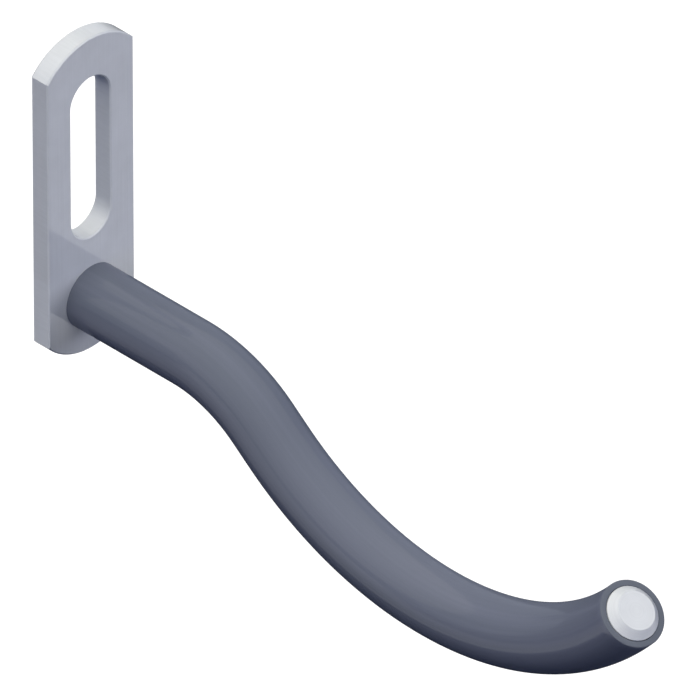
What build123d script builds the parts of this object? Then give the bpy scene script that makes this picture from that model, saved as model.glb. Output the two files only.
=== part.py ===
from build123d import *
from math import sqrt
import os

# Screw-on pegboard hook. A slotted steel plate lies flat on the board. A round steel rod is
# staked into the plate, and a plastic sleeve covers the rod from the plate to its bare tip.
#
# The frame's origin is the middle of the screw slot, on the plate's back face. +X runs across
# the plate, +Y out of its back into the board and +Z up. The hook reaches out along -Y, and
# its two halves mirror each other across X = 0. Sizes are in millimetres and degrees.

# ---- Driving dimensions ----

# Mounting plate: blanked from flat steel, with arched ends and one upright slot
plate_width = 16.8
plate_height = 52.4  # over the crowns of both arches
plate_thickness = 3.2
plate_arch_radius = 11.0
edge_break = 0.2  # chamfer round the plate's outline and slot, front and back
slot_width = 7.6
slot_length = 26.7  # over its round ends
slot_to_top = 6.7  # from the slot up to the upper crown

# Hook rod: sizes along its centreline, from the plate's front face outwards
rod_diameter = 8.0
rod_to_bottom = 9.0  # from the rod's axis down to the lower crown
arm_length = 19.5  # level run out of the plate
shoulder_radius = 22.8  # bend from the level run into the slope
slope_angle = 38.5  # below level
slope_length = 3.9
cradle_radius = 49.8  # wide curve that carries what hangs on the hook
tip_angle = 49.4  # above level
tip_land = 0.05  # bare straight edge between the sleeve and the chamfer
tip_chamfer = 1.1  # at 45 degrees

# Staked joint: the rod's turned-down end goes through the plate and is spread at the back
spigot_diameter = 6.0
stake_depth = 1.2  # of the 45-degree countersink that the spread end fills
stake_clearance = 0.03  # all round the spigot and its spread end

# Sleeve: plastic tube over the rod
sleeve_wall = 0.95
sleeve_clearance = 0.05  # between the rod and the sleeve's bore

# ---- Worked out from them ----

plate_top = slot_length / 2 + slot_to_top
plate_bottom = plate_top - plate_height
rod_height = plate_bottom + rod_to_bottom
rod_radius = rod_diameter / 2
sleeve_bore_radius = rod_radius + sleeve_clearance

# Side view of the hook: outwards from the plate's front face, and up from the rod's axis
side_view = Plane(origin=(0, -plate_thickness, rod_height), x_dir=(0, -1, 0), z_dir=(-1, 0, 0))


def staked_end(clearance):
    """The rod's spigot and its spread end; with a clearance, the hole that takes them."""
    spigot_radius = spigot_diameter / 2 + clearance
    head_radius = spigot_radius + stake_depth
    profile = Polyline(
        (0, 0),
        (spigot_radius, 0),
        (spigot_radius, plate_thickness - stake_depth),
        (head_radius, plate_thickness),
        (0, plate_thickness),
        close=True,
    )
    upright = revolve(Plane.XZ * make_face(profile), Axis.Z)
    front_to_back = Plane(origin=(0, -plate_thickness, rod_height), z_dir=(0, 1, 0))
    return front_to_back * upright


def make_plate():
    """The plate's outline: two straight sides that meet an arch at each end at a corner."""
    side = plate_width / 2
    arch_rise = plate_arch_radius - sqrt(plate_arch_radius**2 - side**2)
    upper_corner = plate_top - arch_rise
    lower_corner = plate_bottom + arch_rise
    outline = [
        Line((side, lower_corner), (side, upper_corner)),
        ThreePointArc((side, upper_corner), (0, plate_top), (-side, upper_corner)),
        Line((-side, upper_corner), (-side, lower_corner)),
        ThreePointArc((-side, lower_corner), (0, plate_bottom), (side, lower_corner)),
    ]
    front_view = make_face(outline) - SlotOverall(slot_length, slot_width, rotation=90)
    blank = extrude(Plane.XZ * front_view, plate_thickness)
    rims = blank.faces().filter_by(Axis.Y).edges()
    return chamfer(rims, edge_break) - staked_end(stake_clearance)


def make_centreline(tip_length=0):
    """The hook's centreline from the plate's front face, with an optional straight tip."""
    with BuildLine(side_view) as centreline:
        arm = Line((0, 0), (arm_length, 0))
        shoulder = JernArc(arm @ 1, arm % 1, shoulder_radius, -slope_angle)
        slope = Line(shoulder @ 1, shoulder @ 1 + (shoulder % 1) * slope_length)
        cradle = JernArc(slope @ 1, slope % 1, cradle_radius, slope_angle + tip_angle)
        if tip_length:
            Line(cradle @ 1, cradle @ 1 + (cradle % 1) * tip_length)
    return centreline.wire()


def make_rod():
    """The bent rod, with its tip chamfered and its other end staked through the plate."""
    centreline = make_centreline(tip_land + tip_chamfer)
    section = Plane(centreline @ 0, z_dir=centreline % 0) * Circle(rod_radius)
    bent = sweep(section, path=centreline)
    tip_face = bent.faces().sort_by_distance(centreline @ 1)[0]
    return chamfer(tip_face.edges(), tip_chamfer) + staked_end(0)


def make_sleeve():
    """The tube over the rod, cut square at both ends and seated against the plate."""
    centreline = make_centreline()
    ring = Circle(sleeve_bore_radius + sleeve_wall) - Circle(sleeve_bore_radius)
    return sweep(Plane(centreline @ 0, z_dir=centreline % 0) * ring, path=centreline)


pieces = {
    "mounting_plate": make_plate(),
    "hook_rod": make_rod(),
    "rod_sleeve": make_sleeve(),
}

os.makedirs("parts", exist_ok=True)
for node, shape in pieces.items():
    export_step(shape, f"parts/{node}.step")
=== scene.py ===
import math

import bmesh
import bpy
from mathutils import Matrix, Vector


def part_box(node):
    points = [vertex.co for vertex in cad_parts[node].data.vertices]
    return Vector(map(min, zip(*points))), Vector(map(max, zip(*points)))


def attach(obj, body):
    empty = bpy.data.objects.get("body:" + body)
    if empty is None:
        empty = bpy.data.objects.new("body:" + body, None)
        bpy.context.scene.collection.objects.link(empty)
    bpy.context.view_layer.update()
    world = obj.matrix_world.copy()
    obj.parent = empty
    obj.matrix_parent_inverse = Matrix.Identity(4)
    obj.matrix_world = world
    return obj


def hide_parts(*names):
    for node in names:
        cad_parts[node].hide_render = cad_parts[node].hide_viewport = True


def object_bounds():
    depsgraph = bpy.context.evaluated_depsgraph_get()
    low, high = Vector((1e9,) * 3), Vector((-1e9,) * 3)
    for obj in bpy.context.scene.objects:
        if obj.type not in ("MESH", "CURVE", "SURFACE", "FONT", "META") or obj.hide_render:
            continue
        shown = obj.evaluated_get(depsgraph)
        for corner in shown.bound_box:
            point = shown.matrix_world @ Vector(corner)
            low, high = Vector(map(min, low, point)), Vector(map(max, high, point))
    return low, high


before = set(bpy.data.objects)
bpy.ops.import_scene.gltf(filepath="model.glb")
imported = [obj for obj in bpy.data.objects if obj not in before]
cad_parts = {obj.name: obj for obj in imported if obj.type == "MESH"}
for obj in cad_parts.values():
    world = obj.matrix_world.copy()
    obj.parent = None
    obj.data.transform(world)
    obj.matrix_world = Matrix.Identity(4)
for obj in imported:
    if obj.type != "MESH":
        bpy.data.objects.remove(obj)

cad_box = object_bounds()

# ---- Mounting plate ----
# A blank of 3.2 mm steel strip, pressed out with its slot and its edges broken, then barrel
# plated with zinc and sealed with a clear lacquer. It lies flat on the board, and one screw
# through the slot holds it.


def from_hex(code):
    """An sRGB hex colour as linear red, green and blue, with full alpha."""
    channels = [int(code[i : i + 2], 16) / 255 for i in (1, 3, 5)]
    return [c / 12.92 if c <= 0.04045 else ((c + 0.055) / 1.055) ** 2.4 for c in channels] + [1]


def fill_sockets(tree, node, inputs):
    """Gives each named socket of a node its value, or a link from another node's output."""
    for socket, value in inputs.items():
        if isinstance(value, bpy.types.NodeSocket):
            tree.links.new(value, node.inputs[socket])
        else:
            node.inputs[socket].default_value = value


def add_node(tree, kind, inputs, **settings):
    """Adds one node with its settings and with the values and links of its sockets."""
    node = tree.nodes.new(kind)
    for name, value in settings.items():
        setattr(node, name, value)
    fill_sockets(tree, node, inputs)
    return node


def set_finish(tree, values):
    """Gives a material's shader its values and links."""
    fill_sockets(tree, tree.nodes["Principled BSDF"], values)


MM = 0.001  # a millimetre, in metres


def per(*sizes_mm):
    """How many marks of these sizes fit in a metre, along one axis or along several."""
    scales = [1 / (size * MM) for size in sizes_mm]
    return scales[0] if len(scales) == 1 else scales


def new_material(name):
    """A material with its shader, and the tree that its nodes go in."""
    material = bpy.data.materials.new(name)
    material.use_nodes = True
    return material, material.node_tree


noise_spread = {"From Min": 0.3, "From Max": 0.7}  # a noise seldom leaves this range


def plated_zinc(name, tool_marks):
    """Zinc plating, sealed: matt crystals that scatter light, under a thin and glossy film.

    The crystals give an even pale grey with faint clouds, and the film gives a weak but sharp
    mirror image. tool_marks makes the height of a tool's marks, from the tree and the place.
    """
    material, tree = new_material(name)
    place = add_node(tree, "ShaderNodeTexCoord", {}).outputs["Object"]

    # clouds of thicker and thinner plating, some 7 mm across
    clouds = add_node(
        tree,
        "ShaderNodeTexNoise",
        {"Vector": place, "Scale": per(7), "Detail": 3, "Roughness": 0.6},
    )
    cloudiness = add_node(
        tree, "ShaderNodeMapRange", {"Value": clouds.outputs["Fac"], **noise_spread}
    )
    # crystals, far finer in the real plating, drawn 0.22 mm across so that they show
    crystals = add_node(
        tree, "ShaderNodeTexNoise", {"Vector": place, "Scale": per(0.22), "Detail": 2}
    )
    marks = tool_marks(tree, place)

    plating = add_node(
        tree,
        "ShaderNodeMix",
        {
            "Factor": cloudiness.outputs["Result"],
            "A": from_hex("#C4C8CB"),
            "B": from_hex("#CDD1D4"),
        },
        data_type="RGBA",
    )
    tone = add_node(
        tree,
        "ShaderNodeMapRange",
        {"Value": marks, **noise_spread, "To Min": 0.97, "To Max": 1.015},
    )
    colour = add_node(
        tree,
        "ShaderNodeVectorMath",
        {0: plating.outputs["Result"], "Scale": tone.outputs["Result"]},
        operation="SCALE",
    )
    roughness = add_node(
        tree,
        "ShaderNodeMapRange",
        {"Value": clouds.outputs["Fac"], **noise_spread, "To Min": 0.55, "To Max": 0.65},
    )
    grain = add_node(
        tree,
        "ShaderNodeBump",
        {"Height": crystals.outputs["Fac"], "Distance": 0.006 * MM, "Strength": 1.0},
    )
    worked = add_node(
        tree,
        "ShaderNodeBump",
        {
            "Height": marks,
            "Distance": 0.012 * MM,
            "Strength": 1.0,
            "Normal": grain.outputs["Normal"],
        },
    )
    set_finish(
        tree,
        {
            "Base Color": colour.outputs["Vector"],
            "Metallic": 0.05,
            "Roughness": roughness.outputs["Result"],
            "Specular IOR Level": 0.2,
            "Coat Weight": 1.0,
            "Coat Roughness": 0.02,
            "Coat IOR": 1.5,
            "Normal": worked.outputs["Normal"],
        },
    )
    return material


def rolled_and_sheared(tree, place):
    """Rolling lines up the plate's faces, and the punch's short lines through its edges."""
    # both are drawn coarser than they are, some 0.3 mm wide, and far longer than wide
    rolled_place = add_node(
        tree, "ShaderNodeMapping", {"Vector": place, "Scale": per(0.3, 3, 16)}
    )
    sheared_place = add_node(
        tree, "ShaderNodeMapping", {"Vector": place, "Scale": per(0.3, 5, 0.3)}
    )
    rolled = add_node(
        tree,
        "ShaderNodeTexNoise",
        {"Vector": rolled_place.outputs["Vector"], "Scale": 1.0, "Detail": 2},
    )
    sheared = add_node(
        tree,
        "ShaderNodeTexNoise",
        {"Vector": sheared_place.outputs["Vector"], "Scale": 1.0, "Detail": 2},
    )
    facing = add_node(tree, "ShaderNodeTexCoord", {}).outputs["Normal"]
    facing_axes = add_node(tree, "ShaderNodeSeparateXYZ", {"Vector": facing})
    flatness = add_node(
        tree, "ShaderNodeMath", {0: facing_axes.outputs["Y"]}, operation="ABSOLUTE"
    )
    on_edge = add_node(
        tree,
        "ShaderNodeMapRange",
        {"Value": flatness.outputs["Value"], "From Min": 0.8, "From Max": 0.6},
    )
    marks = add_node(
        tree,
        "ShaderNodeMix",
        {
            "Factor": on_edge.outputs["Result"],
            "A": rolled.outputs["Fac"],
            "B": sheared.outputs["Fac"],
        },
        data_type="FLOAT",
    )
    return marks.outputs["Result"]


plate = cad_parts["mounting_plate"]
plate.data.materials[0] = plated_zinc("zinc_plated_rolled_steel", rolled_and_sheared)

# ---- Rod sleeve ----
# Extruded soft PVC tube, cut to length and pushed over the rod until it meets the plate. It
# follows the rod's bends, and the rod's chamfered tip stays bare.

plate_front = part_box("mounting_plate")[0].y
sleeve_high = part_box("rod_sleeve")[1]
sleeve_radius = sleeve_high.x
rod_axis = sleeve_high.z - sleeve_radius  # the level arm's height, from that of its crown

wall = 0.95 * MM
arm_length = 19.5 * MM
shoulder_radius = 22.8 * MM
shoulder_turn = math.radians(-38.5)  # down from level
slope_length = 3.9 * MM
cradle_radius = 49.8 * MM
cradle_turn = math.radians(38.5 + 49.4)  # up again, to the tip
cut_rounding = 0.15 * MM  # where the knife's edges are rubbed off
facets_round = 96  # so many facets that the tube looks round in any view
sharpest_smooth = math.radians(50)  # an edge that turns more than this stays crisp

# each stretch of the sleeve: its length, how far it turns and in how many steps
stretches = [
    (arm_length, 0, 8),
    (shoulder_radius * -shoulder_turn, shoulder_turn, 12),
    (slope_length, 0, 2),
    (cradle_radius * cradle_turn, cradle_turn, 56),
]

bm = bmesh.new()
# where each point lies on the tube before it is bent
drawn_place = bm.verts.layers.float_vector.new("drawn_place")
start = Vector((0, plate_front, rod_axis))
against_plate = Matrix.Translation(start) @ Matrix.Rotation(math.pi / 2, 4, "X")
bmesh.ops.create_circle(
    bm, cap_ends=True, segments=facets_round, radius=sleeve_radius, matrix=against_plate
)
bore = bm.faces[:]
bmesh.ops.inset_region(
    bm, faces=bore, thickness=wall, use_boundary=True, use_even_offset=True
)
bmesh.ops.delete(bm, geom=bore, context="FACES")
for vert in bm.verts:
    vert[drawn_place] = (vert.co.x, 0, vert.co.z - rod_axis)

# the ring is drawn out along the rod, step by step
tip_end = bm.faces[:]
middle = start
heading = 0.0
reach = 0.0
for length, turn, steps in stretches:
    step, bend = length / steps, turn / steps
    for _ in range(steps):
        onwards, pivot = Vector(), middle
        if bend:
            pivot = middle + Vector((0, math.sin(heading), math.cos(heading))) * (step / bend)
        else:
            onwards = Vector((0, -math.cos(heading), math.sin(heading))) * step
        drawn = bmesh.ops.spin(
            bm, geom=tip_end, cent=pivot, axis=(1, 0, 0), dvec=onwards, angle=-bend, steps=1
        )
        if reach:  # the first ring closes the wall at the plate, and the next would block it
            bmesh.ops.delete(bm, geom=tip_end, context="FACES")
        tip_end = [part for part in drawn["geom_last"] if isinstance(part, bmesh.types.BMFace)]
        middle = pivot + Matrix.Rotation(-bend, 3, "X") @ (middle - pivot) + onwards
        heading += bend
        reach += step
        for vert in {vert for face in tip_end for vert in face.verts}:
            vert[drawn_place].y = reach

rims = [edge for edge in bm.edges if len(set(edge.link_faces).intersection(tip_end)) == 1]
bmesh.ops.bevel(
    bm,
    geom=rims,
    offset=cut_rounding,
    offset_type="OFFSET",
    segments=3,
    profile=0.5,
    affect="EDGES",
    material=-1,
)
bmesh.ops.recalc_face_normals(bm, faces=bm.faces)
for face in bm.faces:
    face.smooth = True
mesh = bpy.data.meshes.new("soft_sleeve")
bm.to_mesh(mesh)
bm.free()
mesh.set_sharp_from_angle(angle=sharpest_smooth)
sleeve = bpy.data.objects.new("soft_sleeve", mesh)
bpy.context.scene.collection.objects.link(sleeve)

# Soft PVC: a dull blue grey under a thin, smooth skin, which gives one faint sheen along the
# tube. The die leaves faint lines along it, and the melt a fine grain.
material, tree = new_material("extruded_soft_pvc")
tube_place = add_node(
    tree, "ShaderNodeAttribute", {}, attribute_name="drawn_place", attribute_type="GEOMETRY"
).outputs["Vector"]
# die lines 0.5 mm wide and 60 mm long
line_place = add_node(
    tree, "ShaderNodeMapping", {"Vector": tube_place, "Scale": per(0.5, 60, 0.5)}
)
die_lines = add_node(
    tree,
    "ShaderNodeTexNoise",
    {"Vector": line_place.outputs["Vector"], "Scale": 1.0, "Detail": 2},
)
# the colour drifts round the tube over some 4 mm, and along it over 45 mm
drift_place = add_node(
    tree, "ShaderNodeMapping", {"Vector": tube_place, "Scale": per(4, 45, 4)}
)
drift = add_node(
    tree,
    "ShaderNodeTexNoise",
    {"Vector": drift_place.outputs["Vector"], "Scale": 1.0, "Detail": 1},
)
# skin grain, finer in the real tube, drawn 0.3 mm across so that it shows
skin = add_node(
    tree, "ShaderNodeTexNoise", {"Vector": tube_place, "Scale": per(0.3), "Detail": 2}
)
# the drift tints the tube about twice as much as the die lines do
streak = add_node(
    tree,
    "ShaderNodeMix",
    {"Factor": 0.35, "A": drift.outputs["Fac"], "B": die_lines.outputs["Fac"]},
    data_type="FLOAT",
)
streak_share = add_node(
    tree, "ShaderNodeMapRange", {"Value": streak.outputs["Result"], **noise_spread}
)
pvc_colour = add_node(
    tree,
    "ShaderNodeMix",
    {
        "Factor": streak_share.outputs["Result"],
        "A": from_hex("#5B616E"),
        "B": from_hex("#656A79"),
    },
    data_type="RGBA",
)
# the knife's cut across the end is more neutral and a little darker than the drawn skin
along_tube = add_node(tree, "ShaderNodeSeparateXYZ", {"Vector": tube_place}).outputs["Y"]
cut_share = add_node(
    tree,
    "ShaderNodeMapRange",
    {
        "Value": along_tube,
        "From Min": reach - cut_rounding,
        "From Max": reach - cut_rounding / 2,
    },
)
skin_or_cut = add_node(
    tree,
    "ShaderNodeMix",
    {
        "Factor": cut_share.outputs["Result"],
        "A": pvc_colour.outputs["Result"],
        "B": from_hex("#585E69"),
    },
    data_type="RGBA",
)
sheen_spread = add_node(
    tree,
    "ShaderNodeMapRange",
    {"Value": die_lines.outputs["Fac"], **noise_spread, "To Min": 0.58, "To Max": 0.7},
)
skin_bump = add_node(
    tree,
    "ShaderNodeBump",
    {"Height": skin.outputs["Fac"], "Distance": 0.008 * MM, "Strength": 1.0},
)
line_bump = add_node(
    tree,
    "ShaderNodeBump",
    {
        "Height": die_lines.outputs["Fac"],
        "Distance": 0.02 * MM,
        "Strength": 1.0,
        "Normal": skin_bump.outputs["Normal"],
    },
)
set_finish(
    tree,
    {
        "Base Color": skin_or_cut.outputs["Result"],
        "Roughness": sheen_spread.outputs["Result"],
        "IOR": 1.53,
        "Specular IOR Level": 0.04,
        "Coat Weight": 0.55,
        "Coat Roughness": 0.08,
        "Coat IOR": 1.5,
        "Normal": line_bump.outputs["Normal"],
    },
)
mesh.materials.append(material)
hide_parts("rod_sleeve")
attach(sleeve, "root")

# ---- Hook rod ----
# Cold-drawn 8 mm steel rod, bent cold, with its tip faced and chamfered on a lathe and its
# other end spread through the plate by a turning punch. It is plated and sealed with the plate.

# a point on each turned end's axis, and how far that axis leans over from upright
tip_axis = (middle, math.pi / 2 - heading)  # the sleeve has brought both to the tip
staked_axis = (Vector((0, 0, rod_axis)), math.pi / 2)


def turned(tree, place):
    """Rings left by the lathe tool on the tip, and by the turning punch on the staked end."""
    rings = []
    for point, lean in (tip_axis, staked_axis):
        laid_upright = add_node(
            tree,
            "ShaderNodeMapping",
            {"Vector": place, "Location": point, "Rotation": (lean, 0, 0)},
            vector_type="TEXTURE",
        )
        level = add_node(
            tree,
            "ShaderNodeVectorMath",
            {0: laid_upright.outputs["Vector"], 1: (1, 1, 0)},
            operation="MULTIPLY",
        )
        radius = add_node(
            tree, "ShaderNodeVectorMath", {0: level.outputs["Vector"]}, operation="LENGTH"
        )
        # the tool's feed, drawn coarser than it is, as rings 0.2 mm wide
        ring = add_node(
            tree,
            "ShaderNodeTexNoise",
            {"W": radius.outputs["Value"], "Scale": per(0.2), "Detail": 1},
            noise_dimensions="1D",
        )
        rings.append(ring.outputs["Fac"])
    axes = add_node(tree, "ShaderNodeSeparateXYZ", {"Vector": place})
    in_plate = add_node(
        tree, "ShaderNodeMath", {0: axes.outputs["Y"], 1: plate_front}, operation="GREATER_THAN"
    )
    marks = add_node(
        tree,
        "ShaderNodeMix",
        {"Factor": in_plate.outputs["Value"], "A": rings[0], "B": rings[1]},
        data_type="FLOAT",
    )
    return marks.outputs["Result"]


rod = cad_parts["hook_rod"]
rod.data.materials[0] = plated_zinc("zinc_plated_drawn_steel", turned)

# ---- Floor ----
# A wide sheet, well below the hook. To the eye it is white. In reflections it glows white in
# front of the hook, a painted reflection, and is dark beneath and behind it, a painted shade of
# the hook. To other light it is dark, painted shade for the hook's undersides, so it throws
# little light back up.

floor_height = cad_box[0].z - 150 * MM
half_sheet = 6.0  # metres from its middle to each side
under_hook = (0, middle.y / 2, floor_height)  # below the middle of the hook's reach
painted_shade_reach = 195 * MM  # how far from there the painted shade in the mirrored sheet reaches, all round
painted_glow_reach = 206 * MM  # and from where on the sheet's painted glow is full
way_back = (0.5, 0.866, 0)  # behind the hook and to its right
painted_glow_until = -60 * MM  # how far along the way back the painted glow in the mirrored sheet reaches
painted_shade_from = 130 * MM  # and from where on the painted shade is full
own_glow = 0.75  # with the lamps' light, it makes the sheet white to the eye

bm = bmesh.new()
bmesh.ops.create_grid(
    bm,
    x_segments=1,
    y_segments=1,
    size=half_sheet,
    matrix=Matrix.Translation((0, 0, floor_height)),
)
mesh = bpy.data.meshes.new("floor")
bm.to_mesh(mesh)
bm.free()
floor = bpy.data.objects.new("floor", mesh)
bpy.context.scene.collection.objects.link(floor)

material, tree = new_material("sheet_with_painted_glow_and_shade")
rays = add_node(tree, "ShaderNodeLightPath", {})
# white to the camera; to all other light a dark blue grey, painted shade that keeps the hook's
# undersides dark and bluish
sheet_colour = add_node(
    tree,
    "ShaderNodeMix",
    {
        "Factor": rays.outputs["Is Camera Ray"],
        "A": from_hex("#262B36"),
        "B": from_hex("#A0A0A0"),
    },
    data_type="RGBA",
)
place = add_node(tree, "ShaderNodeTexCoord", {}).outputs["Object"]
# painted shade in reflections: dark within a ring round the point below the hook, and behind it
from_hook = add_node(
    tree,
    "ShaderNodeVectorMath",
    {0: place, 1: under_hook},
    operation="DISTANCE",
)
far_enough = add_node(
    tree,
    "ShaderNodeMapRange",
    {"Value": from_hook.outputs["Value"], "From Min": painted_shade_reach, "From Max": painted_glow_reach},
)
backwards = add_node(
    tree, "ShaderNodeVectorMath", {0: place, 1: way_back}, operation="DOT_PRODUCT"
)
in_front = add_node(
    tree,
    "ShaderNodeMapRange",
    {"Value": backwards.outputs["Value"], "From Min": painted_shade_from, "From Max": painted_glow_until},
)
# how much painted glow the mirrored sheet shows here, outside its painted shade
painted_glow_share = add_node(
    tree,
    "ShaderNodeMath",
    {0: far_enough.outputs["Result"], 1: in_front.outputs["Result"]},
    operation="MULTIPLY",
)
# the painted reflection: the sheet glows only to glossy rays
mirrored = add_node(
    tree,
    "ShaderNodeMath",
    {0: rays.outputs["Is Glossy Ray"], 1: painted_glow_share.outputs["Value"]},
    operation="MULTIPLY",
)
# the camera's white backdrop, plus the painted glow that reflections see
glow = add_node(
    tree,
    "ShaderNodeMath",
    {0: rays.outputs["Is Camera Ray"], 1: own_glow, 2: mirrored.outputs["Value"]},
    operation="MULTIPLY_ADD",
)
set_finish(
    tree,
    {
        "Base Color": sheet_colour.outputs["Result"],
        "Roughness": 1.0,
        "Specular IOR Level": 0.0,
        "Emission Color": from_hex("#FFFFFF"),
        "Emission Strength": glow.outputs["Value"],
    },
)
mesh.materials.append(material)

# ---- Light ----
# One very broad lamp high on the left, and two weaker ones low on the right, in front and
# behind, under a faint blue sky. The camera sees white in place of the sky, and so do
# reflections overhead and in front, where a studio's white ceiling would be.

scene = bpy.context.scene
# each lamp: its name, the direction it shines from, its breadth in degrees, energy and tint
for name, comes_from, breadth, energy, tint in (
    ("high_lamp", (-0.36, -0.05, 0.93), 80, 3.75, "#FFFAEC"),
    ("front_lamp", (0.5, -0.85, 0.2), 30, 0.98, "#FEFBFA"),
    ("back_lamp", (0.78, 0.62, 0.02), 20, 2.0, "#FFFCF4"),
):
    lamp = bpy.data.lights.new(name, "SUN")
    lamp.angle = math.radians(breadth)
    lamp.energy = energy
    lamp.color = from_hex(tint)[:3]
    lamp_object = bpy.data.objects.new(name, lamp)
    lamp_object.rotation_euler = Vector(comes_from).to_track_quat("Z", "Y").to_euler()
    lamp_object.visible_glossy = False  # the ceiling is mirrored instead
    scene.collection.objects.link(lamp_object)

sky = bpy.data.worlds.new("soft_sky")
scene.world = sky
sky.use_nodes = True
tree = sky.node_tree
direction = add_node(tree, "ShaderNodeTexCoord", {}).outputs["Generated"]
height = add_node(tree, "ShaderNodeSeparateXYZ", {"Vector": direction}).outputs["Z"]
# bluest at the horizon, and greyer from 30 degrees up
overhead = add_node(tree, "ShaderNodeMapRange", {"Value": height, "From Max": 0.5})
sky_colour = add_node(
    tree,
    "ShaderNodeMix",
    {
        "Factor": overhead.outputs["Result"],
        "A": from_hex("#627AD8"),
        "B": from_hex("#485678"),
    },
    data_type="RGBA",
)
# the ceiling reaches 72 degrees down from a point that is nearly overhead, left and in front
ceiling_middle = (-0.3, -0.3, 0.906)
nearness = add_node(
    tree, "ShaderNodeVectorMath", {0: direction, 1: ceiling_middle}, operation="DOT_PRODUCT"
)
ceiling_share = add_node(
    tree,
    "ShaderNodeMapRange",
    {"Value": nearness.outputs["Value"], "From Min": 0.27, "From Max": 0.33},
)
mirrored_colour = add_node(
    tree,
    "ShaderNodeMix",
    {
        "Factor": ceiling_share.outputs["Result"],
        "A": from_hex("#A0A6B2"),
        "B": from_hex("#FFFFFF"),
    },
    data_type="RGBA",
)
rays = add_node(tree, "ShaderNodeLightPath", {})
surroundings = add_node(
    tree,
    "ShaderNodeMix",
    {
        "Factor": rays.outputs["Is Glossy Ray"],
        "A": sky_colour.outputs["Result"],
        "B": mirrored_colour.outputs["Result"],
    },
    data_type="RGBA",
)
backdrop = add_node(
    tree,
    "ShaderNodeMix",
    {
        "Factor": rays.outputs["Is Camera Ray"],
        "A": surroundings.outputs["Result"],
        "B": from_hex("#FFFFFF"),
    },
    data_type="RGBA",
)
tree.links.new(backdrop.outputs["Result"], tree.nodes["Background"].inputs["Color"])

# ---- Camera ----
# A long lens from far off, so that the hook is drawn almost without perspective: from its
# left, in front and above, with the three axes equally foreshortened.

# the view is centred a little behind and above the middle of the hook's box
aim = (cad_box[0] + cad_box[1]) / 2 + Vector((0.14, 2.837, 5.902)) * MM
towards_camera = Vector((-1, -1, 1)).normalized()
distance = 3.997  # from which this lens sees the whole hook, with a narrow margin
camera = bpy.data.cameras.new("long_lens")
camera.lens = 1500
camera.clip_end = 100  # past the far side of the floor
camera_object = bpy.data.objects.new("long_lens", camera)
camera_object.location = aim + towards_camera * distance
camera_object.rotation_euler = (-towards_camera).to_track_quat("-Z", "Y").to_euler()
scene.collection.objects.link(camera_object)
scene.camera = camera_object
scene.view_settings.view_transform = "Standard"
